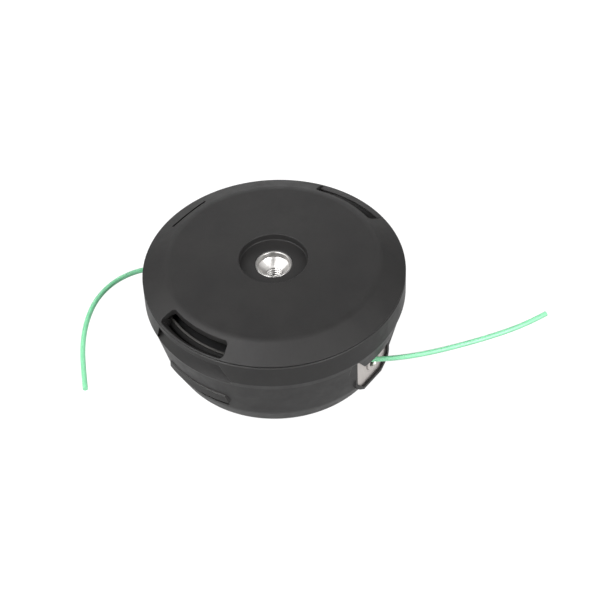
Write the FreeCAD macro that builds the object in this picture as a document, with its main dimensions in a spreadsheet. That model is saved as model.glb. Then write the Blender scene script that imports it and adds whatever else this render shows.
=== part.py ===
# Trimmer head: two-line, bump-feed, about 110 mm across.
#
# Frame: millimetres, +Z up along the spin axis. The origin is the centre of
# the flat wear face of the bump knob, which the head stands on. +X goes
# through one line eyelet, -X through the other. The side that screws to the
# gearbox faces up.
import FreeCAD, Part
import Sketcher
import math
import os
import re

V = FreeCAD.Vector
doc = FreeCAD.newDocument("TrimmerHead")
sheet = doc.addObject("Spreadsheet::Sheet", "Params")
sheet.Label = "Params"

ROW = [0]


def cell(alias, value, note=""):
    """One driving dimension: name, plain number, what it is."""
    ROW[0] += 1
    r = str(ROW[0])
    sheet.set("A" + r, alias)
    sheet.set("B" + r, str(value))
    sheet.set("C" + r, note)
    sheet.setAlias("B" + r, alias)


# --- heights ---------------------------------------------------------------
cell("rim_z", 54.95, "widest edge, where the bevel of the cap ends")
cell("face_edge_z", 60.0, "outer edge of the top face")
cell("crown_z", 61.2, "top face beside the recess, slightly crowned")
cell("floor_under_z", 11.1, "underside of the housing")
cell("floor_top_z", 13.4, "inside of the housing floor")
cell("exit_z", 28.6, "height of the eyelet holes")
# --- cap ---------------------------------------------------------------------
cell("rim_rad", 55.0, "largest radius of the head")
cell("face_rad", 44.7, "radius of the flat face")
cell("cap_wall", 2.0, "cap wall")
cell("rim_band", 0.2, "upright band under the bevel")
cell("recess_rad", 14.3, "recess for the gearbox flange")
cell("recess_z", 58.0, "floor of the recess")
cell("boss_rad", 11.0, "boss around the threaded insert")
cell("boss_low_z", 38.5, "lower end of the boss")
cell("seat_under_z", 55.8, "underside of the recess floor, spring seat")
cell("ring_in", 50.8, "locating ring of the cap, inside")
cell("ring_out", 52.6, "locating ring of the cap, outside")
cell("ring_low_z", 46.0, "lower edge of the locating ring")
cell("seat_rib_z", 52.0, "plane where the cap sits on the housing wall")
cell("slot_in", 47.3, "long slots in the bevel, inner radius")
cell("slot_out", 54.45, "long slots in the bevel, outer radius")
cell("slot_low", 53.05, "foot of the leaning outer wall of a long slot")
cell("slot_span", 36.6, "degrees taken up by a long slot")
cell("slot_az", -98.0, "middle of the front slot, degrees from +X")
cell("slit_az", 171.15, "middle of the thin straight slit")
cell("slit_dist", 48.3, "distance of the slit from the axis")
cell("slit_len", 20.5, "length of the slit")
cell("slit_wide", 1.1, "width of the slit")
# --- insert ------------------------------------------------------------------
cell("ins_rad", 7.75, "threaded insert, round collar")
cell("ins_top_z", 57.9, "top of the insert")
cell("ins_low_z", 40.0, "lower end of the insert")
cell("ins_cup_rad", 6.85, "bore above the cone")
cell("ins_cup_z", 55.2, "start of the cone")
cell("ins_mouth_z", 52.2, "mouth of the thread")
cell("ins_bore_rad", 3.32, "M8x1.25 left-hand thread, minor radius")
# --- housing -----------------------------------------------------------------
cell("house_top_z", 53.85, "top edge of the skirt")
cell("skirt_low_z", 43.4, "lower edge of the upright skirt")
cell("wall_in", 47.4, "inner wall of the housing")
cell("wall_mid", 49.4, "outer side of the inner wall")
cell("lip_z", 51.1, "top of the thin lip seen through the slots")
cell("strip_z", 51.6, "lower edge of the skirt band above a finger hollow")
cell("pocket_low_z", 42.0, "floor of the dark pocket under a long slot")
cell("scoop_ring", 65.0, "finger hollow: ring radius of the scoop")
cell("scoop_rad", 12.8, "finger hollow: section radius of the scoop")
cell("scoop_z", 49.0, "finger hollow: height of the scoop")
cell("knob_hole", 22.0, "opening for the bump knob")
cell("pad_face", 49.9, "flat outer face round the eyelets")
cell("eye_turn", -4.2, "direction of the eyelet faces, degrees from +X")
cell("dog_in", 27.0, "feed dogs, inner radius")
cell("dog_out", 33.0, "feed dogs, outer radius")
cell("dog_span", 24.0, "degrees taken up by one dog")
cell("dog_low_top_z", 16.2, "top of the housing dogs")
cell("dog_cap_z", 54.2, "lower end of the cap dogs")
# --- eyelets -----------------------------------------------------------------
cell("plate_in", 47.7, "eyelet plate, inner face")
cell("plate_out", 48.9, "eyelet plate, outer face")
cell("plate_y0", -11.75, "eyelet plate, one side")
cell("plate_y1", 11.75, "eyelet plate, other side")
cell("plate_z0", 17.9, "eyelet plate, bottom")
cell("plate_z1", 51.8, "eyelet plate, top")
cell("eye_y", 0.55, "eyelet hole, sideways from the middle")
cell("eye_rad", 2.25, "eyelet hole")
# --- spool -------------------------------------------------------------------
cell("hub_rad", 19.6, "spool hub")
cell("well_rad", 17.4, "spring well in the hub")
cell("spool_bore", 12.2, "bore around the cap boss")
cell("web_low_z", 28.0, "underside of the web that carries the spring")
cell("web_top_z", 31.0, "top of the web")
cell("fl_low_z", 16.9, "lower flange, underside")
cell("fl_mid_z", 31.6, "middle flange, underside")
cell("fl_top_z", 47.5, "upper flange, underside")
cell("fl_thick", 1.6, "flange thickness")
cell("fl_rad", 44.8, "lower and middle flange radius")
cell("fl_top_rad", 46.8, "upper flange radius")
cell("spool_foot_z", 13.5, "lower ends of hub and dogs")
cell("spool_dog_z", 51.6, "top of the upper spool dogs")
# --- knob, spring, washer, line ---------------------------------------------
cell("knob_rad", 21.4, "bump knob")
cell("knob_flat", 12.5, "flat wear face of the knob")
cell("wire_dia", 1.3, "spring wire")
cell("coil_rad", 14.6, "spring, mean radius")
cell("coil_turns", 6.0, "spring turns")
cell("washer_thick", 0.8, "spring washer")
cell("line_dia", 2.2, "cutting line")
cell("wound_low_rad", 37.5, "line wound in the lower chamber")
cell("wound_top_rad", 38.5, "line wound in the upper chamber")
cell("travel", 4.5, "travel of the knob when it is bumped")
doc.recompute()


def P(alias):
    return float(sheet.get(alias))


def ex(s):
    """Expression text: words that are sheet aliases become Params.alias."""
    return re.sub(r"\b([a-z]+(?:_[a-z0-9]+)+|travel)\b", r"Params.\1", str(s))


def val(s):
    names = {}
    for i in range(1, ROW[0] + 1):
        a = sheet.get("A%d" % i)
        names[a] = P(a)
    out = str(s)
    for a in sorted(names, key=len, reverse=True):
        out = re.sub(r"\b%s\b" % a, repr(names[a]), out)
    return arith(out)


def arith(text):
    """Value of a sum of products of plain numbers, such as 3.5-0.2*2."""
    text = text.replace(" ", "").replace("--", "+").replace("+-", "-")
    total = 0.0
    term = ""
    terms = []
    for i, ch in enumerate(text):
        if ch in "+-" and i > 0 and text[i - 1] not in "*/+-e":
            terms.append(term)
            term = ch
        else:
            term += ch
    terms.append(term)
    for t in terms:
        part = 1.0
        op = "*"
        num = ""
        for ch in t + "*":
            if ch in "*/":
                v = float(num)
                part = part * v if op == "*" else part / v
                op = ch
                num = ""
            else:
                num += ch
        total += part
    return total


def plane(body, role):
    for f in body.Origin.OriginFeatures:
        if f.Role == role:
            return f
    raise RuntimeError(role)


def sketch_poly(body, name, role, pts):
    """Closed outline in a sketch; every corner is bound to the sheet."""
    sk = body.newObject("Sketcher::SketchObject", name)
    sk.AttachmentSupport = [(plane(body, role), "")]
    sk.MapMode = "FlatFace"
    num = [(val(a), val(b)) for a, b in pts]
    n = len(num)
    for i in range(n):
        a = num[i]
        b = num[(i + 1) % n]
        sk.addGeometry(Part.LineSegment(V(a[0], a[1], 0), V(b[0], b[1], 0)), False)
    for i in range(n):
        sk.addConstraint(Sketcher.Constraint("Coincident", i, 2, (i + 1) % n, 1))
    for i in range(n):
        for k, (kind, axis) in enumerate((("DistanceX", 0), ("DistanceY", 1))):
            c = sk.addConstraint(Sketcher.Constraint(kind, -1, 1, i, 1, num[i][axis]))
            text = str(pts[i][axis])
            if any(ch.isalpha() for ch in text):
                sk.setExpression("Constraints[%d]" % c, ex(text))
    return sk


def near_edges(shape, wanted, tol=0.05):
    """Names of circular edges at the given (radius, height) pairs."""
    names = []
    for r, z in wanted:
        for i, e in enumerate(shape.Edges):
            c = e.Curve
            if isinstance(c, Part.Circle) and abs(c.Radius - r) < tol \
                    and abs(c.Center.z - z) < tol and abs(c.Center.x) < 1e-3:
                names.append("Edge%d" % (i + 1))
    return names


def revolve(name, pts, fillets=(), angle=None, az=None):
    """Turned shape about Z. pts are (radius, height); fillets are
    (size, [(radius, height), ...]). With angle it is a sector around az."""
    body = doc.addObject("PartDesign::Body", name)
    sk = sketch_poly(body, name + "_outline", "XZ_Plane", pts)
    rv = body.newObject("PartDesign::Revolution", name + "_turned")
    rv.Profile = (sk, [""])
    rv.ReferenceAxis = (sk, ["V_Axis"])
    rv.Angle = 360
    if angle is not None:
        rv.Midplane = True
        rv.setExpression("Angle", ex(angle)) if any(
            ch.isalpha() for ch in str(angle)) else setattr(rv, "Angle", float(angle))
    body.Tip = rv
    doc.recompute()
    for k, (size, wanted) in enumerate(fillets):
        base = body.Tip
        edges = near_edges(base.Shape,
                           [(val(r), val(z)) for r, z in wanted])
        if len(edges) < len(wanted):
            raise RuntimeError("%s: fillet %d finds %d of %d edges"
                               % (name, k, len(edges), len(wanted)))
        fl = body.newObject("PartDesign::Fillet", "%s_round%d" % (name, k))
        fl.Base = (base, edges)
        fl.Radius = float(size)
        body.Tip = fl
        doc.recompute()
    if az is not None:
        body.Placement = FreeCAD.Placement(V(0, 0, 0), FreeCAD.Rotation(V(0, 0, 1), az))
    return body


def slab(name, role, pts, length, move=(0, 0, 0), turn=0.0, both=False):
    """Outline on an origin plane, padded. XY pads along +Z, XZ along -Y,
    YZ along +X. turn is degrees about Z."""
    body = doc.addObject("PartDesign::Body", name)
    sk = sketch_poly(body, name + "_outline", role, pts)
    pad = body.newObject("PartDesign::Pad", name + "_pad")
    pad.Profile = (sk, [""])
    pad.Length = float(length)
    pad.Midplane = bool(both)
    body.Tip = pad
    doc.recompute()
    rot = FreeCAD.Rotation(V(0, 0, 1), turn)
    body.Placement = FreeCAD.Placement(rot.multVec(V(*move)), rot)
    return body


def box(name, x0, x1, y0, y1, z0, z1, turn=0.0):
    b = doc.addObject("Part::Box", name)
    for prop, a, c in (("Length", x0, x1), ("Width", y0, y1), ("Height", z0, z1)):
        text = "(%s)-(%s)" % (c, a)
        if any(ch.isalpha() for ch in text):
            b.setExpression(prop, ex(text))
        else:
            setattr(b, prop, float(val("%s" % c)) - float(val("%s" % a)))
    rot = FreeCAD.Rotation(V(0, 0, 1), turn)
    b.Placement = FreeCAD.Placement(rot.multVec(V(val(x0), val(y0), val(z0))), rot)
    return b


def cyl(name, r, z0, z1, place=None):
    c = doc.addObject("Part::Cylinder", name)
    c.setExpression("Radius", ex(r)) if any(ch.isalpha() for ch in str(r)) else setattr(c, "Radius", float(r))
    text = "(%s)-(%s)" % (z1, z0)
    if any(ch.isalpha() for ch in text):
        c.setExpression("Height", ex(text))
    else:
        c.Height = float(z1) - float(z0)
    c.Placement = place or FreeCAD.Placement(V(0, 0, val(z0)), FreeCAD.Rotation())
    return c


def fuse(name, parts):
    f = doc.addObject("Part::MultiFuse", name)
    f.Shapes = parts
    f.Refine = True
    return f


def cut(name, base, tools):
    tool = tools[0] if len(tools) == 1 else fuse(name + "_tools", tools)
    c = doc.addObject("Part::Cut", name)
    c.Base = base
    c.Tool = tool
    c.Refine = True
    return c


def common(name, parts):
    f = doc.addObject("Part::MultiCommon", name)
    f.Shapes = parts
    return f


def round_edges(name, base, size, pick):
    """Part::Fillet on the edges that pick(edge) accepts."""
    doc.recompute()
    f = doc.addObject("Part::Fillet", name)
    f.Base = base
    found = [(i + 1, size, size) for i, e in enumerate(base.Shape.Edges) if pick(e)]
    if not found:
        raise RuntimeError(name + ": no edge found")
    f.Edges = found
    return f


def upright(e):
    """True for a straight edge that runs along Z."""
    if len(e.Vertexes) != 2 or not isinstance(e.Curve, Part.Line):
        return False
    d = e.Vertexes[1].Point - e.Vertexes[0].Point
    return abs(d.x) < 1e-4 and abs(d.y) < 1e-4 and abs(d.z) > 1e-3


NODES = []


def node(obj, label):
    obj.Label = label
    NODES.append(obj)
    return obj


def sectors(name, r0, r1, z0, z1, span, mids):
    """Ring sectors between two radii and two heights."""
    return [revolve("%s%d" % (name, i), [(r0, z0), (r1, z0), (r1, z1), (r0, z1)],
                    angle=span, az=a) for i, a in enumerate(mids)]


# ---------------------------------------------------------------------------
# Cap: face, bevel, recess, boss, locating ring and dogs in one moulding.
# ---------------------------------------------------------------------------
cap_turn = revolve("cap_turned", [
    ("recess_rad", "recess_z"), ("recess_rad", "crown_z"),
    ("face_rad", "face_edge_z"), ("rim_rad", "rim_z"),
    ("rim_rad", "rim_z-rim_band"), ("ring_out", "rim_z-rim_band"),
    ("ring_out", "ring_low_z"), ("ring_in", "ring_low_z"),
    ("ring_in", "54.3"), ("49.3", "55.2"),
    ("49.3", "seat_rib_z"), ("47.7", "seat_rib_z"), ("47.7", "55.9"),
    ("44.0", "57.9"), ("16.5", "58.9"),
    ("16.5", "seat_under_z"), ("boss_rad", "seat_under_z"),
    ("boss_rad", "boss_low_z"), ("8.0", "boss_low_z"), ("ins_rad", "39.0"),
    ("ins_rad", "recess_z")],
    fillets=[(7.0, [("face_rad", "face_edge_z")]),
             (0.15, [("rim_rad", "rim_z")]),
             (0.3, [("recess_rad", "crown_z")]),
             (0.4, [("recess_rad", "recess_z")]),
             (0.35, [("ins_rad", "recess_z")]),
             (0.8, [("boss_rad", "boss_low_z")])])

slot_pair = []
for i, turn in enumerate((0.0, 180.0)):
    az = P("slot_az") + turn
    s = revolve("slot_blank%d" % i, [("slot_in", "49.0"), ("slot_out", "49.0"),
                                     ("slot_out", "63.0"), ("slot_in", "63.0")],
                angle="slot_span", az=az)
    slot_pair.append(round_edges("slot_round%d" % i, s, 1.9, upright))
slit = round_edges("slit_round", box("slit_box", "slit_dist-slit_wide/2",
                   "slit_dist+slit_wide/2", "0-slit_len/2", "slit_len/2",
                   "49.0", "63.0", turn=P("slit_az")), 0.5, upright)
# the locating ring is left out beside the finger hollows
ring_gaps = sectors("ring_gap", "49.9", "53.5", "45.0", "rim_z-rim_band", "54.4",
                    (P("slot_az"), P("slot_az") + 180))
rib_gaps = sectors("rib_gap", "47.0", "49.9", "51.0", "55.2", "41",
                   (P("slot_az"), P("slot_az") + 180))
plate_gap = [box("plate_gap%d" % i, "47.5", "49.1", "plate_y0-0.2", "plate_y1+0.2",
                 "51.9", "52.3", turn=P("eye_turn") + t) for i, t in enumerate((0, 180))]
cap_cut = cut("cap_cut", cap_turn, slot_pair + [slit] + ring_gaps + rib_gaps)
beads = [revolve("bead%d" % i, [("52.2", "46.9"), ("ring_out", "46.9"), ("53.1", "47.4"),
                                ("53.1", "48.0"), ("ring_out", "48.6"), ("52.2", "48.6")],
                 angle="28", az=a) for i, a in enumerate((-8.4, 171.6))]
# spool dog at 0; the cap dogs stand so that the lifted spool turns half a pitch
LOW = 60.0
SPOOL_LOW = LOW - P("dog_span") - 0.5
SPOOL_TOP = SPOOL_LOW
CAP_DOG = SPOOL_TOP + P("dog_span") + 50.0
# curtain under the outer edge of each long slot, inside the skirt
curtains = [revolve("curtain%d" % i, [("slot_low", "53.45"), ("slot_low+0.5", "53.45"),
                                      ("slot_low+0.5", "53.95"),
                                      ("54.8", "rim_z-rim_band"), ("54.8", "55.0"),
                                      ("slot_out", "55.12"), ("slot_low", "54.0")],
                    angle="39", az=P("slot_az") + t) for i, t in enumerate((0.0, 180.0))]
cap_dogs = sectors("cap_dog", "dog_in", "dog_out", "dog_cap_z", "58.6", "dog_span",
                   [CAP_DOG + 120 * k for k in range(3)])
cap = node(fuse("cap_all", [cap_cut] + beads + curtains + cap_dogs), "top_cap")

# ---------------------------------------------------------------------------
# Threaded insert: turned aluminium with a hexagon foot held in the boss.
# ---------------------------------------------------------------------------
ins = revolve("insert_turned", [
    ("ins_bore_rad", "ins_mouth_z"), ("ins_cup_rad", "ins_cup_z"),
    ("ins_cup_rad", "ins_top_z"), ("ins_rad-0.05", "ins_top_z"),
    ("ins_rad-0.05", "ins_low_z+0.6"), ("ins_rad-0.65", "ins_low_z"),
    ("ins_bore_rad+0.6", "ins_low_z"), ("ins_bore_rad", "ins_low_z+0.6")],
    fillets=[(0.3, [("ins_rad-0.05", "ins_top_z"), ("ins_cup_rad", "ins_top_z")])])
keys_in = [box("ins_key%d" % i, "7.2", "8.9", "-1.2", "1.2", "44.0", "53.0", turn=a)
           for i, a in enumerate((0, 90, 180, 270))]
insert = node(fuse("insert_all", [ins] + keys_in), "threaded_insert")
key_ways = [box("key_way%d" % i, "7.0", "8.95", "-1.25", "1.25", "43.95", "53.05", turn=a)
            for i, a in enumerate((0, 90, 180, 270))]
NODES.remove(cap)
cap.Label = "cap_moulding"
cap = node(cut("cap_keyed", cap, key_ways + plate_gap), "top_cap")

# ---------------------------------------------------------------------------
# Lower housing: skirt, cone, floor, eyelet pads, finger hollows and slots.
# ---------------------------------------------------------------------------
house_turn = revolve("house_turned", [
    ("knob_hole", "floor_under_z"), ("45.2", "floor_under_z"), ("49.25", "19.9"),
    ("53.95", "40.3"), ("rim_rad", "skirt_low_z"), ("rim_rad", "house_top_z-0.35"),
    ("rim_rad-0.35", "house_top_z"), ("wall_in", "house_top_z"), ("wall_in", "20.8"), ("45.7", "17.0"),
    ("43.4", "floor_top_z"), ("24.2", "floor_top_z"), ("24.2", "14.6"), ("knob_hole", "14.6")],
    fillets=[(9.0, [("49.25", "19.9")]),
             (2.6, [("45.2", "floor_under_z")]),
             (2.5, [("53.95", "40.3")]),
             (0.7, [("rim_rad", "skirt_low_z")]),
             (0.5, [("knob_hole", "floor_under_z")])])
# flat pads that carry the eyelets
pads = []
for i, t in enumerate((0, 180)):
    b = slab("pad%d" % i, "YZ_Plane", [("-6.2", "17.1"), ("6.2", "17.1"), ("9.0", "19.3"),
                                      ("11.5", "21.9"), ("12.05", "25.0"), ("12.05", "46.4"),
                                      ("-12.05", "46.4"), ("-12.05", "25.0"), ("-11.5", "21.9"),
                                      ("-9.0", "19.3")],
             P("pad_face") - 45.9, move=(45.9, 0, 0), turn=P("eye_turn") + t)
    pads.append(b)
grips = []
for i, t in enumerate((0.0, 180.0)):
    az = P("slot_az") + t
    ring = revolve("grip_ring%d" % i, [("48.5", "25.2"), ("51.65", "25.2"), ("52.05", "29.4"),
                                       ("51.4", "29.75"), ("48.5", "29.75")],
                   angle="50", az=az)
    ends = slab("grip_ends%d" % i, "XZ_Plane", [("-17.2", "24.9"), ("16.0", "24.9"),
                                               ("14.4", "30.2"), ("-15.8", "30.2")],
                60, turn=az + 90)
    grips.append(common("grip%d" % i, [ring, ends]))
house_dogs = sectors("house_dog", "dog_in", "dog_out", "13.0", "dog_low_top_z", "dog_span",
                     [LOW + 120 * k for k in range(3)])
house_fuse = fuse("house_fused", [house_turn] + pads + grips + house_dogs)

# channel between inner wall and skirt, for the cap's locating ring
channel = []
for i, t in enumerate((90.0, 270.0)):
    channel.append(revolve("channel%d" % i, [
        ("wall_mid", "45.4"), ("52.8", "45.4"), ("52.8", "54.6"), ("wall_mid", "54.6")],
        angle="126.4", az=P("slot_az") + t))
    # deeper on both sides of the eyelet, which stands in solid material
    for k, (span, mid) in enumerate(((42.0, -42.2), (34.4, 46.0))):
        channel.append(revolve("channel_deep%d_%d" % (i, k), [
            ("wall_mid", "46.0"), ("wall_mid", "31.5"), ("50.9", "36.5"), ("52.2", "42.6"),
            ("52.8", "44.5"), ("52.8", "46.0")], angle=span, az=P("slot_az") + t + mid))
wall_top = revolve("wall_top", [("46.0", "seat_rib_z"), ("49.7", "seat_rib_z"),
                                ("49.7", "54.6"), ("46.0", "54.6")])
bead_room = [revolve("bead_room%d" % i, [("52.5", "46.6"), ("53.2", "47.2"), ("53.2", "48.2"),
                                         ("52.5", "49.0")],
                     angle="30", az=a) for i, a in enumerate((-8.4, 171.6))]
hollows = []
for i, t in enumerate((0.0, 180.0)):
    az = P("slot_az") + t
    # thin lip at the top of the inner wall
    hollows.append(revolve("lip_cut%d" % i, [("wall_in-1", "lip_z"), ("49.6", "lip_z"),
                                             ("49.6", "54.6"), ("wall_in-1", "54.6")],
                           angle="46", az=az))
    # deep pocket behind the lip; its outer wall leans in over the hollow
    hollows.append(revolve("pocket%d" % i, [("48.3", "54.6"), ("48.3", "50.2"),
                                            ("49.3", "48.6"), ("49.3", "pocket_low_z"),
                                            ("50.7", "pocket_low_z"), ("50.8", "49.9"),
                                            ("53.7", "53.2"), ("53.7", "54.6")],
                           angle="41", az=az))
    # the hollow is a ring-shaped scoop, deepest under the band at the rim
    scoop = doc.addObject("Part::Torus", "scoop%d" % i)
    scoop.setExpression("Radius1", "Params.scoop_ring")
    scoop.setExpression("Radius2", "Params.scoop_rad")
    scoop.Angle3 = 70
    scoop.Placement = FreeCAD.Placement(V(0, 0, P("scoop_z")),
                                        FreeCAD.Rotation(V(0, 0, 1), az - 35))
    under = revolve("scoop_under%d" % i, [("50.0", "38.0"), ("62.0", "38.0"),
                                          ("62.0", "strip_z"), ("rim_rad", "strip_z"),
                                          ("50.0", "strip_z-4.64")], angle="70", az=az)
    ends = slab("scoop_ends%d" % i, "XZ_Plane", [("-17.0", "53.2"), ("-18.6", "47.4"),
                                                ("-20.6", "42.6"), ("-17.2", "40.8"),
                                                ("17.3", "40.8"), ("21.3", "42.6"),
                                                ("18.0", "47.4"), ("14.9", "53.2")],
                70, turn=az + 90)
    hollows.append(common("hollow%d" % i, [common("scoop_low%d" % i, [scoop, under]), ends]))
    low = revolve("low_slot_blank%d" % i, [("44.0", "21.3"), ("54.0", "21.3"),
                                           ("54.0", "25.2"), ("44.0", "25.2")],
                  angle="34.5", az=az)
    hollows.append(low)
windows = []
for i, t in enumerate((0, 180)):
    t = P("eye_turn") + t
    # flat cut across the cone, under a brow that rises at one end
    windows.append(slab("flat_cut%d" % i, "YZ_Plane", [
        ("-17.0", "16.5"), ("18.0", "16.5"), ("18.0", "33.5"), ("-8.4", "34.4"),
        ("-13.8", "42.2"), ("-17.0", "42.2")],
        12.0, move=(P("pad_face"), 0, 0), turn=t))
    # window in front of the plate
    windows.append(slab("window%d" % i, "YZ_Plane", [
        ("-10.85", "24.0"), ("-6.7", "18.9"), ("-5.6", "18.4"), ("5.6", "18.4"), ("6.7", "18.9"),
        ("10.85", "24.0"), ("10.85", "33.6"), ("-7.8", "34.3"), ("-10.85", "38.6")],
        3.0, move=(P("plate_out") + 0.05, 0, 0), turn=t))
    # way for the line behind the plate
    windows.append(slab("line_way%d" % i, "YZ_Plane", [
        ("-5.8", "24.0"), ("-3.8", "22.0"), ("5.0", "22.0"), ("7.0", "24.0"), ("7.0", "33.0"),
        ("5.0", "35.0"), ("-3.8", "35.0"), ("-5.8", "33.0")],
        3.5, move=(44.5, 0, 0), turn=t))
    # groove that the plate slides down
    windows.append(slab("plate_groove%d" % i, "YZ_Plane", [
        ("plate_y0+4.8", "plate_z0-0.1"), ("plate_y1-4.8", "plate_z0-0.1"),
        ("plate_y1+0.1", "plate_z0+5.9"), ("plate_y1+0.1", "56.0"), ("plate_y0-0.1", "56.0"),
        ("plate_y0-0.1", "plate_z0+5.9")],
        P("plate_out") - P("plate_in") + 0.2, move=(P("plate_in") - 0.1, 0, 0), turn=t))
    # room for the pressed collar of the eyelet
    pl = FreeCAD.Placement(FreeCAD.Rotation(V(0, 0, 1), t).multVec(V(48.0, P("eye_y"), P("exit_z"))),
                           FreeCAD.Rotation(V(0, 0, 1), t).multiply(FreeCAD.Rotation(V(0, 1, 0), 90)))
    windows.append(cyl("collar_room%d" % i, "6.6", "0", "2.6", place=pl))
housing = node(cut("house_cut", house_fuse, channel + [wall_top] + bead_room + hollows + windows),
               "lower_housing")

# ---------------------------------------------------------------------------
# Eyelets: steel plates with a pressed, bell-mouthed hole.
# ---------------------------------------------------------------------------
for i, (t, name) in enumerate(((0, "eyelet_right"), (180, "eyelet_left"))):
    t = P("eye_turn") + t
    rot = FreeCAD.Rotation(V(0, 0, 1), t)
    flat = slab("plate%d" % i, "YZ_Plane", [
        ("plate_y0", "plate_z0+5.96"), ("plate_y0+4.85", "plate_z0"), ("plate_y1-4.85", "plate_z0"),
        ("plate_y1", "plate_z0+5.96"), ("plate_y1", "plate_z1-1"), ("plate_y1-1", "plate_z1"),
        ("plate_y0+1", "plate_z1"), ("plate_y0", "plate_z1-1")],
        P("plate_out") - P("plate_in"), move=(P("plate_in"), 0, 0), turn=t)
    bell = revolve("bell%d" % i, [
        ("eye_rad", "-0.7"), ("4.0", "-0.7"), ("4.3", "0.2"), ("4.3", "0.6"), ("5.9", "1.1"),
        ("5.9", "1.2"), ("4.5", "1.5"), ("4.2", "2.6"), ("eye_rad", "2.6")],
        fillets=[(1.3, [("eye_rad", "-0.7"), ("eye_rad", "2.6")]), (0.5, [("4.2", "2.6")])])
    bell.Placement = FreeCAD.Placement(rot.multVec(V(P("plate_in"), P("eye_y"), P("exit_z"))),
                                       rot.multiply(FreeCAD.Rotation(V(0, 1, 0), 90)))
    hole = cyl("eye_hole%d" % i, "eye_rad", "0", "8", place=FreeCAD.Placement(
        rot.multVec(V(P("plate_in") - 2, P("eye_y"), P("exit_z"))),
        rot.multiply(FreeCAD.Rotation(V(0, 1, 0), 90))))
    node(cut("eyelet_cut%d" % i, fuse("eyelet_blank%d" % i, [flat, bell]), [hole]), name)

# ---------------------------------------------------------------------------
# Spool: hub with spring well, three flanges and dogs on both ends.
# ---------------------------------------------------------------------------
spool_turn = revolve("spool_turned", [
    ("well_rad", "spool_foot_z"), ("hub_rad", "spool_foot_z"), ("hub_rad", "fl_low_z"),
    ("fl_rad", "fl_low_z"), ("fl_rad", "fl_low_z+fl_thick"), ("hub_rad", "fl_low_z+fl_thick"),
    ("hub_rad", "fl_mid_z"), ("fl_rad", "fl_mid_z"), ("fl_rad", "fl_mid_z+fl_thick"),
    ("hub_rad", "fl_mid_z+fl_thick"), ("hub_rad", "fl_top_z"), ("fl_top_rad", "fl_top_z"),
    ("fl_top_rad", "fl_top_z+fl_thick"), ("well_rad", "fl_top_z+fl_thick"),
    ("well_rad", "web_top_z"), ("spool_bore", "web_top_z"), ("spool_bore", "web_low_z"),
    ("well_rad", "web_low_z"), ("well_rad", "24.6"), ("18.1", "24.4"), ("18.1", "22.9"),
    ("well_rad", "22.7")],
    fillets=[(0.5, [("fl_rad", "fl_low_z"), ("fl_rad", "fl_low_z+fl_thick"),
                    ("fl_rad", "fl_mid_z"), ("fl_rad", "fl_mid_z+fl_thick"),
                    ("fl_top_rad", "fl_top_z"), ("fl_top_rad", "fl_top_z+fl_thick")]),
             (1.0, [("hub_rad", "fl_low_z+fl_thick"), ("hub_rad", "fl_mid_z"),
                    ("hub_rad", "fl_mid_z+fl_thick"), ("hub_rad", "fl_top_z")])])
low_dogs = sectors("spool_low_dog", "dog_in", "dog_out", "spool_foot_z", "fl_low_z+0.5",
                   "dog_span", [SPOOL_LOW + 120 * k for k in range(3)])
top_dogs = sectors("spool_top_dog", "dog_in", "dog_out", "fl_top_z+1.0", "spool_dog_z",
                   "dog_span", [SPOOL_TOP + 120 * k for k in range(3)])
spool_all = fuse("spool_all", [spool_turn] + low_dogs + top_dogs)
hook_slots = [box("hook_slot%d" % i, "39.6", "46.0", "-1.4", "1.4", "31.0", "34.0", turn=a)
              for i, a in enumerate((90, 270))]
spool = node(cut("spool_cut", spool_all, hook_slots), "spool")

# ---------------------------------------------------------------------------
# Bump knob: a cup with a domed foot; its sleeve clips into the spool hub.
# ---------------------------------------------------------------------------
knob = revolve("knob_turned", [
    ("0", "0"), ("knob_flat", "0"), ("17.6", "1.1"), ("20.3", "3.2"), ("knob_rad", "6.2"),
    ("knob_rad", "spool_foot_z"), ("17.2", "spool_foot_z"), ("17.2", "22.9"), ("17.9", "23.3"),
    ("17.9", "23.9"), ("17.25", "24.4"), ("17.0", "26.4"), ("15.3", "26.4"), ("15.3", "6.0"), ("13.6", "3.4"), ("0", "3.4")],
    fillets=[(6.0, [("17.6", "1.1")]), (4.0, [("20.3", "3.2")]), (6.0, [("knob_rad", "6.2")]),
             (2.0, [("knob_flat", "0")]), (0.8, [("knob_rad", "spool_foot_z")])])
node(knob, "bump_knob")

# ---------------------------------------------------------------------------
# Spring washer and compression spring.
# ---------------------------------------------------------------------------
washer = revolve("washer_turned", [
    ("12.5", "web_top_z"), ("17.1", "web_top_z"), ("17.1", "web_top_z+washer_thick"),
    ("12.5", "web_top_z+washer_thick")],
    fillets=[(0.15, [("17.1", "web_top_z+washer_thick"), ("12.5", "web_top_z+washer_thick")])])
node(washer, "spring_washer")

z_low = P("web_top_z") + P("washer_thick") + P("wire_dia") / 2
z_top = P("seat_under_z") - P("wire_dia") / 2
helix = doc.addObject("Part::Helix", "spring_path")
helix.setExpression("Radius", "Params.coil_rad")
helix.setExpression("Height", "Params.seat_under_z-Params.web_top_z-Params.washer_thick-Params.wire_dia")
helix.setExpression("Pitch", "(Params.seat_under_z-Params.web_top_z-Params.washer_thick-Params.wire_dia)/Params.coil_turns")
helix.Placement = FreeCAD.Placement(V(0, 0, z_low), FreeCAD.Rotation())
ring = doc.addObject("Part::Circle", "spring_wire")
ring.setExpression("Radius", "Params.wire_dia/2")
ring.Placement = FreeCAD.Placement(V(P("coil_rad"), 0, z_low), FreeCAD.Rotation(V(1, 0, 0), 90))
doc.recompute()
spring = doc.addObject("Part::Sweep", "spring_sweep")
spring.Sections = [ring]
spring.Spine = (helix, ["Edge1"])
spring.Solid = True
spring.Frenet = True
node(spring, "feed_spring")

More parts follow.
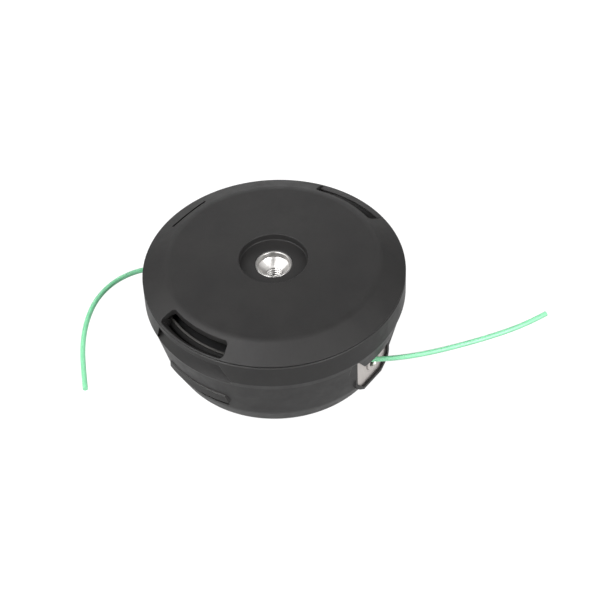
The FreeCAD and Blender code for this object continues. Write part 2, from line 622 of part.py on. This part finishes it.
# ---------------------------------------------------------------------------
# Cutting line: wound on the spool, and the two free ends.
# ---------------------------------------------------------------------------
for name, r, z0, z1 in (("wound_line_lower", "wound_low_rad", "fl_low_z+fl_thick+0.1", "fl_mid_z-0.1"),
                        ("wound_line_upper", "wound_top_rad", "fl_mid_z+fl_thick+0.1", "fl_top_z-0.1")):
    w = revolve(name + "_turned", [("hub_rad+0.1", z0 + "+1.1"), ("hub_rad+1.2", z0), (r + "-1.1", z0),
                                   (r, z0 + "+1.1"), (r, z1 + "-1.1"), (r + "-1.1", z1),
                                   ("hub_rad+1.2", z1), ("hub_rad+0.1", z1 + "-1.1")])
    node(w, name)

ROUTES = {
    "free_line_right": [(45.2, -5.2, 28.6), (54.0, 0.3, 28.6), (66.0, 10.6, 28.6), (78.4, 24.8, 28.5),
                        (88.2, 37.6, 28.4), (95.2, 48.6, 28.3), (99.2, 57.4, 28.2)],
    "free_line_left": [(-45.2, 5.2, 28.6), (-54.2, -0.4, 28.6), (-65.4, -8.0, 28.6), (-71.4, -19.5, 28.5),
                       (-71.9, -32.7, 28.4), (-67.6, -45.6, 28.3), (-60.7, -57.5, 28.2),
                       (-53.0, -67.3, 28.1), (-45.2, -76.3, 28.0)],
}


def line_path(pts):
    """Straight runs joined by tangent arcs; returns the wire and its radii."""
    pts = [V(*p) for p in pts]
    edges = []
    radii = []
    here = pts[0]
    for i in range(1, len(pts) - 1):
        a = (pts[i - 1] - pts[i])
        b = (pts[i + 1] - pts[i])
        la, lb = a.Length, b.Length
        a.normalize()
        b.normalize()
        turn = math.pi - a.getAngle(b)
        back = 0.45 * min(la, lb)
        radius = back / math.tan(turn / 2)
        radii.append(round(radius, 1))
        p = pts[i] + a * back
        q = pts[i] + b * back
        bis = (a + b)
        bis.normalize()
        centre = pts[i] + bis * (radius / math.cos(turn / 2))
        mid = centre - bis * radius
        edges.append(Part.LineSegment(here, p).toShape())
        edges.append(Part.Arc(p, mid, q).toShape())
        here = q
    edges.append(Part.LineSegment(here, pts[-1]).toShape())
    return Part.Wire(edges), radii


for name, pts in ROUTES.items():
    wire, radii = line_path(pts)
    d = V(*pts[1]) - V(*pts[0])
    prof = Part.Wire([Part.Circle(V(*pts[0]), d, P("line_dia") / 2).toShape()])
    tube = wire.makePipeShell([prof], True, False)
    want = math.pi * (P("line_dia") / 2) ** 2 * wire.Length
    print("%s: length %.1f mm, radii %s, volume %.1f of %.1f"
          % (name, wire.Length, radii, tube.Volume, want))
    if abs(tube.Volume - want) > 0.01 * want:
        raise RuntimeError(name + ": tube volume is wrong")
    f = doc.addObject("Part::Feature", name + "_tube")
    f.Shape = tube
    f.Placement = FreeCAD.Placement()
    node(f, name)

doc.recompute()

# ---------------------------------------------------------------------------
# Every object must be sound before anything is written.
# ---------------------------------------------------------------------------
for o in doc.Objects:
    if "Invalid" in o.State or "Error" in o.State:
        raise RuntimeError("%s (%s) failed: %s" % (o.Name, o.Label, o.State))
os.makedirs("parts", exist_ok=True)
for o in NODES:
    s = o.Shape
    if s.isNull() or not s.isValid() or not s.Solids:
        raise RuntimeError(o.Label + ": no valid solid")
    if len(s.Solids) != 1:
        print("note: %s has %d solids" % (o.Label, len(s.Solids)))
    s.exportStep("parts/%s.step" % o.Label)
    b = s.BoundBox
    print("%-18s solids %d volume %9.1f  x %.1f..%.1f y %.1f..%.1f z %.1f..%.1f"
          % (o.Label, len(s.Solids), s.Volume, b.XMin, b.XMax, b.YMin, b.YMax, b.ZMin, b.ZMax))
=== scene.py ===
import math

import bpy
from mathutils import Matrix, Vector


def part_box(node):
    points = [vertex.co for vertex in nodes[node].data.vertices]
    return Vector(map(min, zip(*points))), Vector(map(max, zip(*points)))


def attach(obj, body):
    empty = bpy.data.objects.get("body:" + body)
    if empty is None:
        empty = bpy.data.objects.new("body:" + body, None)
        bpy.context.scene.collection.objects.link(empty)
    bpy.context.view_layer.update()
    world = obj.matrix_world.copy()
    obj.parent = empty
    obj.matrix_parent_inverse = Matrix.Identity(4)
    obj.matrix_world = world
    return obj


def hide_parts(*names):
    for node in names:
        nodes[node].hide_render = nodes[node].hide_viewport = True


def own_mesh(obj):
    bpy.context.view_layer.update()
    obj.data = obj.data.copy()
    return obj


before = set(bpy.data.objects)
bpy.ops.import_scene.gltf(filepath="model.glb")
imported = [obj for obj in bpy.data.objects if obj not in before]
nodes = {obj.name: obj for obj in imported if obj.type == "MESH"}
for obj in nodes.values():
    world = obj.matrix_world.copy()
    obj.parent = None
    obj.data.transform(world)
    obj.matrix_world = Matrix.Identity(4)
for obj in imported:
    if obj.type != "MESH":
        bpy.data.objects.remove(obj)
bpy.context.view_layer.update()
scene = bpy.context.scene
MM = 0.001


# ---------------------------------------------------------------------------
# Small helpers
# ---------------------------------------------------------------------------
def new_object(name, verts, faces, smooth=True):
    me = bpy.data.meshes.new(name)
    me.from_pydata([tuple(c * MM for c in v) for v in verts], [], faces)
    me.update()
    if smooth:
        me.polygons.foreach_set("use_smooth", [True] * len(me.polygons))
    ob = bpy.data.objects.new(name, me)
    scene.collection.objects.link(ob)
    return ob


def paint(ob, mat):
    if len(ob.material_slots) == 0:
        ob.data.materials.append(mat)
    for s in ob.material_slots:
        s.material = mat


class Tree:
    """A material's nodes, added by short names."""

    def __init__(self, name):
        self.mat = bpy.data.materials.new(name)
        self.mat.use_nodes = True
        self.nt = self.mat.node_tree
        self.bsdf = next(n for n in self.nt.nodes if n.type == "BSDF_PRINCIPLED")

    def add(self, kind, **values):
        n = self.nt.nodes.new(kind)
        for k, v in values.items():
            if k in n.inputs:
                n.inputs[k].default_value = v
            else:
                setattr(n, k, v)
        return n

    def link(self, a, b):
        self.nt.links.new(a, b)

    def place(self):
        """Coordinates in metres, in the row frame."""
        return self.add("ShaderNodeTexCoord").outputs["Object"]

    def noise(self, where, scale, detail=3.0, rough=0.5, stretch=None):
        if stretch:
            m = self.add("ShaderNodeMapping")
            m.inputs["Scale"].default_value = stretch
            self.link(where, m.inputs["Vector"])
            where = m.outputs["Vector"]
        n = self.add("ShaderNodeTexNoise", Scale=scale, Detail=detail, Roughness=rough)
        self.link(where, n.inputs["Vector"])
        return n.outputs["Fac"]

    def span(self, value, lo, hi, out_lo, out_hi):
        m = self.add("ShaderNodeMapRange")
        m.inputs["From Min"].default_value = lo
        m.inputs["From Max"].default_value = hi
        m.inputs["To Min"].default_value = out_lo
        m.inputs["To Max"].default_value = out_hi
        self.link(value, m.inputs["Value"])
        return m.outputs["Result"]

    def blend(self, fac, a, b):
        m = self.add("ShaderNodeMix", data_type="RGBA")
        self.link(fac, m.inputs["Factor"])
        m.inputs[6].default_value = (*a, 1)
        m.inputs[7].default_value = (*b, 1)
        return m.outputs[2]

    def math(self, op, a, b=None):
        m = self.add("ShaderNodeMath", operation=op)
        for i, x in enumerate((a, b)):
            if x is None:
                continue
            if isinstance(x, (int, float)):
                m.inputs[i].default_value = x
            else:
                self.link(x, m.inputs[i])
        return m.outputs[0]

    def bump(self, height, strength, depth, normal=None):
        b = self.add("ShaderNodeBump", Strength=strength, Distance=depth)
        self.link(height, b.inputs["Height"])
        if normal is not None:
            self.link(normal, b.inputs["Normal"])
        return b.outputs["Normal"]

    def edges(self, radius):
        b = self.add("ShaderNodeBevel", Radius=radius)
        b.samples = 6
        return b.outputs["Normal"]


def moulded(name, dark, light, rough, grain=0.16, edge=0.00035, coat=0.0, edge_glint_tone=None, glint_ring=None):
    """Moulded plastic: spark-eroded grain, faint flow marks, soft edges; the edge tone is
    the colour of painted highlights on its sharp edges, the ring (r0, r1, z0, z1) a band of painted highlight."""
    t = Tree(name)
    p = t.place()
    cloud = t.noise(p, 55, 4, 0.55)
    fine = t.noise(p, 900, 3, 0.6)
    mix = t.math("ADD", t.math("MULTIPLY", cloud, 0.65), t.math("MULTIPLY", fine, 0.35))
    tone = t.blend(t.span(mix, 0.35, 0.65, 0, 1), dark, light)
    if edge_glint_tone:
        # Painted highlight: sharp edges, where the rounded-edge normal turns away from the surface normal, are
        # mixed toward the edge tone.
        dot = t.add("ShaderNodeVectorMath", operation="DOT_PRODUCT")
        t.link(t.edges(0.00030), dot.inputs[0])
        t.link(t.add("ShaderNodeNewGeometry").outputs["Normal"], dot.inputs[1])
        glint = t.span(dot.outputs["Value"], 0.97, 0.86, 0.0, 0.55)
        # Painted highlight ring: the band at radius 47.3-48.45 mm and height 50.85-51.3 mm, the top edge of the
        # housing's inner wall, is lightened at half strength.
        if glint_ring:
            sep = t.add("ShaderNodeSeparateXYZ")
            t.link(p, sep.inputs[0])
            r = t.math("SQRT", t.math("ADD", t.math("MULTIPLY", sep.outputs[0], sep.outputs[0]),
                                      t.math("MULTIPLY", sep.outputs[1], sep.outputs[1])))
            ring = t.math("MULTIPLY",
                          t.math("MULTIPLY", t.math("GREATER_THAN", r, glint_ring[0]), t.math("LESS_THAN", r, glint_ring[1])),
                          t.math("MULTIPLY", t.math("GREATER_THAN", sep.outputs[2], glint_ring[2]),
                                 t.math("LESS_THAN", sep.outputs[2], glint_ring[3])))
            glint = t.math("MAXIMUM", glint, t.math("MULTIPLY", ring, 0.5))
        m = t.add("ShaderNodeMix", data_type="RGBA")
        t.link(glint, m.inputs["Factor"])
        t.link(tone, m.inputs[6])
        m.inputs[7].default_value = (*edge_glint_tone, 1)
        tone = m.outputs[2]
    t.link(tone, t.bsdf.inputs["Base Color"])
    t.link(t.span(t.noise(p, 140, 4, 0.6), 0.3, 0.7, rough - 0.05, rough + 0.06),
           t.bsdf.inputs["Roughness"])
    t.bsdf.inputs["IOR"].default_value = 1.5
    t.bsdf.inputs["Specular IOR Level"].default_value = 0.175
    if coat:
        t.bsdf.inputs["Coat Weight"].default_value = coat
        t.bsdf.inputs["Coat Roughness"].default_value = 0.3
    round_n = t.edges(edge)
    grains = t.noise(p, 3600, 2, 0.5)
    waves = t.noise(p, 160, 2, 0.5)
    n1 = t.bump(grains, grain, 0.00012, round_n)
    n2 = t.bump(waves, 0.05, 0.0004, n1)
    t.link(n2, t.bsdf.inputs["Normal"])
    return t.mat


black = moulded("moulded_black", (0.0082, 0.0079, 0.0080), (0.0108, 0.0104, 0.0101), 0.50)
# Housing plastic with painted highlights: its sharp edges and the top edge of its inner wall are lightened.
house_black = moulded("moulded_black_edge_glint", (0.0082, 0.0079, 0.0080), (0.0108, 0.0104, 0.0101), 0.50,
                      edge_glint_tone=(0.060, 0.058, 0.055), glint_ring=(0.0473, 0.04845, 0.05085, 0.0513))
spool_black = moulded("spool_black", (0.0078, 0.0078, 0.0080), (0.0102, 0.0102, 0.0104), 0.42, 0.08)
knob_black = moulded("knob_black", (0.0095, 0.0092, 0.0092), (0.0125, 0.0121, 0.0118), 0.44, 0.10)


def turned_metal(name, tone, rough, pitch):
    """Lathe-turned metal: fine rings round the Z axis."""
    t = Tree(name)
    p = t.place()
    sep = t.add("ShaderNodeSeparateXYZ")
    t.link(p, sep.inputs[0])
    r = t.math("SQRT", t.math("ADD", t.math("MULTIPLY", sep.outputs[0], sep.outputs[0]),
                              t.math("MULTIPLY", sep.outputs[1], sep.outputs[1])))
    run = t.math("ADD", r, t.math("MULTIPLY", sep.outputs[2], 0.7))
    ring = t.math("SINE", t.math("MULTIPLY", run, 2 * math.pi / pitch))
    comb = t.add("ShaderNodeCombineXYZ")
    t.link(run, comb.inputs[0])
    uneven = t.noise(comb.outputs[0], 5200, 2, 0.6)
    height = t.math("ADD", t.math("MULTIPLY", ring, 0.35), uneven)
    t.link(t.blend(t.span(uneven, 0.3, 0.7, 0, 1), tone, tuple(min(1, c * 1.06) for c in tone)),
           t.bsdf.inputs["Base Color"])
    t.bsdf.inputs["Metallic"].default_value = 0.85
    t.link(t.span(t.noise(p, 700, 3, 0.6), 0.3, 0.7, rough - 0.04, rough + 0.06),
           t.bsdf.inputs["Roughness"])
    t.link(t.bump(height, 0.06, 0.00003, t.edges(0.00012)), t.bsdf.inputs["Normal"])
    return t.mat


def sheet_metal(name, tone, rough, along=(1.0, 1.0, 0.05)):
    """Rolled sheet or drawn wire with fine streaks along Z."""
    t = Tree(name)
    p = t.place()
    streak = t.noise(p, 2600, 3, 0.6, stretch=along)
    cloud = t.noise(p, 180, 3, 0.5)
    t.link(t.blend(t.span(streak, 0.3, 0.7, 0, 1), tuple(c * 0.88 for c in tone), tone),
           t.bsdf.inputs["Base Color"])
    t.bsdf.inputs["Metallic"].default_value = 1.0
    t.link(t.span(cloud, 0.3, 0.7, rough - 0.05, rough + 0.07), t.bsdf.inputs["Roughness"])
    t.link(t.bump(streak, 0.12, 0.00003, t.edges(0.00018)), t.bsdf.inputs["Normal"])
    return t.mat


def nylon(name, tone, deep):
    """Extruded nylon line: slightly clear, with faint uneven tone and fine bumps."""
    t = Tree(name)
    p = t.place()
    cloud = t.noise(p, 260, 3, 0.6)
    t.link(t.blend(t.span(cloud, 0.3, 0.7, 0, 1), deep, tone), t.bsdf.inputs["Base Color"])
    t.link(t.span(t.noise(p, 900, 3, 0.5), 0.3, 0.7, 0.34, 0.46), t.bsdf.inputs["Roughness"])
    t.bsdf.inputs["IOR"].default_value = 1.53
    t.bsdf.inputs["Subsurface Weight"].default_value = 0.35
    t.bsdf.inputs["Subsurface Radius"].default_value = (0.5, 1.0, 0.7)
    t.bsdf.inputs["Subsurface Scale"].default_value = 0.0009
    t.link(t.bump(t.noise(p, 1500, 2, 0.5), 0.10, 0.0001), t.bsdf.inputs["Normal"])
    return t.mat


turned = turned_metal("turned_aluminium", (0.33, 0.322, 0.314), 0.31, 0.00016)
plate_steel = sheet_metal("eyelet_plate", (0.47, 0.44, 0.42), 0.36)
spring_steel = sheet_metal("spring_wire", (0.42, 0.41, 0.40), 0.32, (1, 1, 1))
green = nylon("mint_nylon", (0.125, 0.335, 0.195), (0.10, 0.29, 0.165))

for name, mat in {
    "top_cap": black, "lower_housing": house_black, "spool": spool_black, "bump_knob": knob_black,
    "eyelet_right": plate_steel, "eyelet_left": plate_steel, "spring_washer": spring_steel,
    "threaded_insert": turned, "feed_spring": spring_steel, "wound_line_lower": green,
    "wound_line_upper": green, "free_line_right": green, "free_line_left": green,
}.items():
    paint(nodes[name], mat)


# ---------------------------------------------------------------------------
# Free line ends: the same route points as the solids, on one smooth curve
# ---------------------------------------------------------------------------
ROUTES = {
    "line_end_right": ("free_line_right", 83.8, [
        (45.2, -5.2, 28.6), (54.0, 0.3, 28.6), (66.0, 10.6, 28.6), (78.4, 24.8, 28.5),
        (88.2, 37.6, 28.4), (95.2, 48.6, 28.3), (99.2, 57.4, 28.2)]),
    "line_end_left": ("free_line_left", 101.4, [
        (-45.2, 5.2, 28.6), (-54.2, -0.4, 28.6), (-65.4, -8.0, 28.6), (-71.4, -19.5, 28.5),
        (-71.9, -32.7, 28.4), (-67.6, -45.6, 28.3), (-60.7, -57.5, 28.2),
        (-53.0, -67.3, 28.1), (-45.2, -76.3, 28.0)]),
}
for name, (node, length, pts) in ROUTES.items():
    cu = bpy.data.curves.new(name, "CURVE")
    cu.dimensions = "3D"
    sp = cu.splines.new("NURBS")
    sp.points.add(len(pts) - 1)
    for q, c in zip(sp.points, pts):
        q.co = (c[0] * MM, c[1] * MM, c[2] * MM, 1.0)
    sp.order_u = 3
    sp.use_endpoint_u = True
    sp.resolution_u = 24
    cu.bevel_depth = 1.1 * MM
    cu.bevel_resolution = 6
    cu.use_fill_caps = True
    ob = bpy.data.objects.new(name, cu)
    scene.collection.objects.link(ob)
    cu.materials.append(green)
    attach(ob, "housing")
    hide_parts(node)


# ---------------------------------------------------------------------------
# Turned pieces built from an outline, with a threaded bore
# ---------------------------------------------------------------------------
def ring_mesh(name, rows, steps=144):
    """Closed skin round Z: each row gives (radius, height) at an angle."""
    verts, faces = [], []
    n = len(rows)
    for k in range(n):
        for i in range(steps):
            a = 2 * math.pi * i / steps
            r, z = rows[k](a) if callable(rows[k]) else rows[k]
            verts.append((r * math.cos(a), r * math.sin(a), z))
    for k in range(n):
        k2 = (k + 1) % n
        for i in range(steps):
            j = (i + 1) % steps
            faces.append((k * steps + i, k * steps + j, k2 * steps + j, k2 * steps + i))
    return verts, faces


def thread_rows(minor, major, pitch, z0, z1, per_pitch=16):
    """Left-hand internal thread from z0 up to z1, fading out at both ends."""
    rows = []
    count = int((z1 - z0) / pitch * per_pitch)
    for k in range(count + 1):
        z = z0 + (z1 - z0) * k / count

        def row(a, z=z):
            phase = (z / pitch + a / (2 * math.pi)) % 1.0
            tri = abs(2 * phase - 1)                       # 0 at the root, 1 at the crest
            depth = max(0.0, min(1.0, (0.86 - tri) / 0.72))
            fade = min(1.0, (z - z0) / 0.9, (z1 - z) / 0.9)
            return (minor + (major - minor) * depth * max(0.0, fade), z)
        rows.append(row)
    return rows


def arc(cr, cz, rad, a0, a1, n=5):
    return [(cr + rad * math.cos(math.radians(a0 + (a1 - a0) * i / n)),
             cz + rad * math.sin(math.radians(a0 + (a1 - a0) * i / n))) for i in range(n + 1)]


ins = []
ins += thread_rows(3.32, 4.0, 1.25, 40.6, 52.2)
ins += [(3.38, 52.22), (6.79, 55.16), (6.85, 55.24), (6.85, 55.6)]
ins += arc(7.15, 57.6, 0.3, 180, 90)
ins += arc(7.4, 57.6, 0.3, 90, 0)
ins += [(7.7, 57.2), (7.7, 41.2), (7.7, 40.65), (7.1, 40.02), (7.0, 40.0), (4.0, 40.0), (3.9, 40.02)]
v, f = ring_mesh("insert", ins, 160)
base = len(v)
for a in (0, 90, 180, 270):
    c, s = math.cos(math.radians(a)), math.sin(math.radians(a))
    box = [(x, y, z) for z in (44.0, 53.0) for x, y in ((7.2, -1.2), (8.9, -1.2), (8.9, 1.2), (7.2, 1.2))]
    o = len(v)
    v += [(x * c - y * s, x * s + y * c, z) for x, y, z in box]
    f += [tuple(o + i for i in q) for q in ((0, 3, 2, 1), (4, 5, 6, 7), (0, 1, 5, 4), (1, 2, 6, 5),
                                           (2, 3, 7, 6), (3, 0, 4, 7))]
insert = new_object("insert_threaded", v, f)
insert.data.set_sharp_from_angle(angle=math.radians(38))
paint(insert, turned)
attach(insert, "housing")
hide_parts("threaded_insert")


# ---------------------------------------------------------------------------
# Wire and line that follow a helix
# ---------------------------------------------------------------------------
def tube_along(points, radius, sides=12, caps=True):
    """Closed tube through points, with a frame that doesn't twist."""
    pts = [Vector(p) for p in points]
    verts, faces = [], []
    n = len(pts)
    normal = None
    for k in range(n):
        d = (pts[min(k + 1, n - 1)] - pts[max(k - 1, 0)]).normalized()
        if normal is None:
            normal = d.orthogonal().normalized()
        normal = (normal - d * normal.dot(d)).normalized()
        side = d.cross(normal)
        for i in range(sides):
            a = 2 * math.pi * i / sides
            verts.append(tuple(pts[k] + (normal * math.cos(a) + side * math.sin(a)) * radius))
    for k in range(n - 1):
        for i in range(sides):
            j = (i + 1) % sides
            faces.append((k * sides + i, k * sides + j, (k + 1) * sides + j, (k + 1) * sides + i))
    if caps:
        faces.append(tuple(range(sides))[::-1])
        faces.append(tuple((n - 1) * sides + i for i in range(sides)))
    return verts, faces


# feed spring: six turns with closed, flattened ends
TURNS, Z0, Z1, WIRE = 7.5, 31.8 + 0.65, 55.8 - 0.65, 1.3
path = []
steps = 56
total = int(TURNS * steps)
for k in range(total + 1):
    turn = k / steps
    # three quarters of a turn at each end lie flat
    lo, hi = 0.8, TURNS - 0.8
    t = 0.0 if turn < lo else 1.0 if turn > hi else (turn - lo) / (hi - lo)
    rise = 1.35
    z = Z0 + (rise * min(turn / lo, 1.0) + (Z1 - Z0 - 2 * rise) * t
              + rise * max(0.0, (turn - hi) / (TURNS - hi)))
    a = 2 * math.pi * turn
    path.append((14.6 * math.cos(a), 14.6 * math.sin(a), z))
v, f = tube_along(path, WIRE / 2, 14)
coil = new_object("spring_coil", v, f)
coil.data.set_sharp_from_angle(angle=math.radians(60))
paint(coil, spring_steel)
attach(coil, "housing")
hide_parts("feed_spring")
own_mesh(coil)


def winding(name, node, r_out, z_lo, z_hi, hand, r_in=19.7):
    """Line wound in layers: the two outer layers as turns, a plain core inside."""
    d = 2.2
    turns = int((z_hi - z_lo) / d)
    gap = (z_hi - z_lo - turns * d) / max(1, turns)
    verts, faces = [], []

    def take(v, f):
        o = len(verts)
        verts.extend(v)
        faces.extend(tuple(o + i for i in q) for q in f)

    for layer in range(2):
        rr = r_out - d / 2 - layer * d * 0.93
        pts = []
        m = 88
        count = turns if layer == 0 else turns
        length = (count - 1) * m + int(0.86 * m)
        for k in range(length + 1):
            turn = k / m
            share = k / length
            zz = z_lo + d / 2 + 0.02 + (z_hi - z_lo - d - 0.04) * share
            wob = 0.14 * math.sin(turn * 2.3 + layer) + 0.10 * math.sin(turn * 9.1 + 2 * layer)
            a = hand * 2 * math.pi * turn + layer * 1.9
            pts.append(((rr - 0.25 + wob * 0.8) * math.cos(a), (rr - 0.25 + wob * 0.8) * math.sin(a), zz))
        take(*tube_along(pts, d / 2, 12))
    # core of the inner layers
    rc = r_out - 2 * d * 0.93 - 0.15
    rows = [(r_in, z_lo + 0.3), (r_in + 0.3, z_lo)]
    layers = [(rc - 0.55, z_lo)]
    n = turns
    for i in range(n):
        zc = z_lo + (z_hi - z_lo) * (i + 0.5) / n
        h = (z_hi - z_lo) / n / 2
        layers += [(rc - 0.35 + 0.35 * math.cos(math.radians(t)), zc + h * math.sin(math.radians(t)) * 0.96)
                   for t in (-80, -40, 0, 40, 80)]
    layers += [(rc - 0.55, z_hi)]
    take(*ring_mesh(name, (rows + layers + [(r_in + 0.3, z_hi), (r_in, z_hi - 0.3)])[::-1], 96))
    ob = new_object(name, verts, faces)
    paint(ob, green)
    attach(ob, "spool_unit")
    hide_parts(node)
    return ob


lo_b, lo_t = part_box("wound_line_lower")
up_b, up_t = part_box("wound_line_upper")
winding("winding_lower", "wound_line_lower", 37.5, lo_b.z / MM, lo_t.z / MM, 1)
winding("winding_upper", "wound_line_upper", 38.5, up_b.z / MM, up_t.z / MM, 1)

# ---------------------------------------------------------------------------
# Floor
# ---------------------------------------------------------------------------
floor_me = bpy.data.meshes.new("floor")
S = 2.5
floor_me.from_pydata([(-S, -S, 0), (S, -S, 0), (S, S, 0), (-S, S, 0)], [], [(0, 1, 2, 3)])
floor = bpy.data.objects.new("floor", floor_me)
scene.collection.objects.link(floor)
t = Tree("floor_pale")
t.bsdf.inputs["Base Color"].default_value = (0.09, 0.09, 0.09, 1)
t.bsdf.inputs["Emission Color"].default_value = (1, 1, 1, 1)
t.bsdf.inputs["Emission Strength"].default_value = 0.90
t.bsdf.inputs["Roughness"].default_value = 0.9
t.bsdf.inputs["Specular IOR Level"].default_value = 0.1
paint(floor, t.mat)

# ---------------------------------------------------------------------------
# Camera: elevation 45.1 degrees, from part azimuth -55, a little rolled
# ---------------------------------------------------------------------------
ELEV, TURN, ROLL = math.radians(45.135), math.radians(35.0), math.radians(-3.430)
FOCAL, DIST = 1843.55, 0.770
AIM_X, AIM_Y = 274.08 - 300.0, 270.36 - 300.0
focus = Vector((0, 0, 0.054))
right = Vector((math.cos(TURN), math.sin(TURN), 0))
flat_f = Vector((-math.sin(TURN), math.cos(TURN), 0))
fwd = flat_f * math.cos(ELEV) - Vector((0, 0, 1)) * math.sin(ELEV)
up = flat_f * math.sin(ELEV) + Vector((0, 0, 1)) * math.cos(ELEV)
c, s = math.cos(ROLL), math.sin(ROLL)
right, up = right * c + up * s, up * c - right * s
place = focus - fwd * DIST
look = (fwd - right * (AIM_X / FOCAL) + up * (AIM_Y / FOCAL)).normalized()
right = (right - look * right.dot(look)).normalized()
up = right.cross(look)
rot = Matrix((right, up, -look)).transposed()
cam_data = bpy.data.cameras.new("camera")
cam = bpy.data.objects.new("camera", cam_data)
scene.collection.objects.link(cam)
cam.matrix_world = Matrix.Translation(place) @ rot.to_4x4()
cam_data.sensor_width = 36
cam_data.lens = FOCAL / 600 * 36
cam_data.clip_start, cam_data.clip_end = 0.02, 20
scene.camera = cam


# ---------------------------------------------------------------------------
# Light: soft boxes to both sides of the camera, at the sides and behind
# ---------------------------------------------------------------------------
def softbox(name, azimuth, elevation, dist, size, power, tint=(1, 1, 1)):
    """Area light that faces the head; azimuth is seen from above, 0 = +X."""
    la = bpy.data.lights.new(name, "AREA")
    la.shape = "RECTANGLE"
    la.size, la.size_y = size
    la.energy = power
    la.color = tint
    ob = bpy.data.objects.new(name, la)
    scene.collection.objects.link(ob)
    a, e = math.radians(azimuth), math.radians(elevation)
    at = Vector((math.cos(a) * math.cos(e), math.sin(a) * math.cos(e), math.sin(e))) * dist
    at.z += 0.04
    d = (Vector((0, 0, 0.04)) - at).normalized()
    ob.matrix_world = Matrix.Translation(at) @ d.to_track_quat("-Z", "Y").to_matrix().to_4x4()
    return ob


softbox("high_left", -108, 58, 1.4, (0.6, 1.0), 20.5)
softbox("high_right", -2, 58, 1.4, (0.6, 1.0), 4.8)
softbox("mid_left", -98, 30, 1.4, (0.6, 0.9), 20.5)
softbox("mid_right", -12, 30, 1.4, (0.6, 0.9), 35.0)
softbox("left", -145, 35, 1.4, (0.9, 0.9), 18.5)
softbox("right", 35, 35, 1.4, (0.9, 0.9), 5.0)
softbox("back_low", 125, 22, 1.5, (1.6, 0.6), 9.5)

world = bpy.data.worlds.new("surround")
world.use_nodes = True
bg = world.node_tree.nodes["Background"]
bg.inputs["Color"].default_value = (1, 1, 1, 1)
bg.inputs["Strength"].default_value = 0.03
scene.world = world

scene.view_settings.view_transform = "Standard"
scene.view_settings.look = "None"
